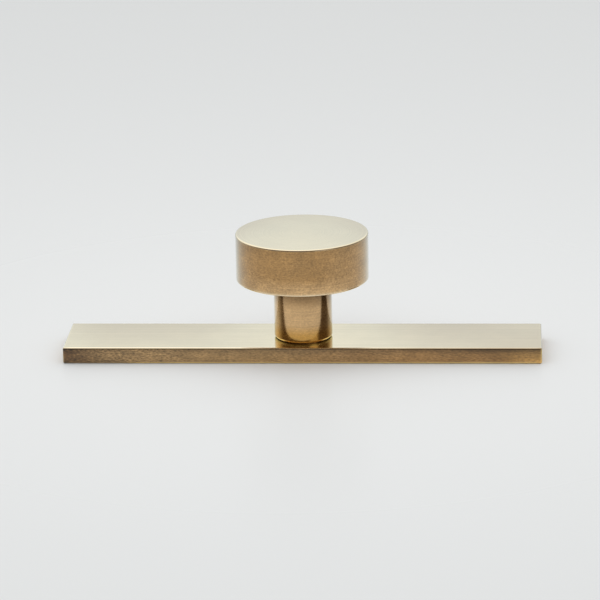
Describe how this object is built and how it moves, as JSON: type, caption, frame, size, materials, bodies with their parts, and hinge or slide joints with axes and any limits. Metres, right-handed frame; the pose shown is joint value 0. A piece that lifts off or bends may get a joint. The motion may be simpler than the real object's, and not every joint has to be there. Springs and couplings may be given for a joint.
{
  "type": "cabinet knob on backplate",
  "caption": "Round turned brass cabinet knob with a flat disc head on a straight neck, standing on a long flat backplate; a screw through the door pulls both tight.",
  "frame": {"origin": "centre of the backplate's back face, the face that lies against the door, on the knob's axis", "axes": "+X along the backplate, +Z out of the door along the knob's axis"},
  "size_m": [0.115, 0.032, 0.03],
  "materials": {
    "aged_brass": "aged satin brass, finely brushed on the flat faces and mottled on the sides"
  },
  "bodies": {
    "root": {"knob": "aged_brass", "backplate": "aged_brass"}
  },
  "joints": []
}
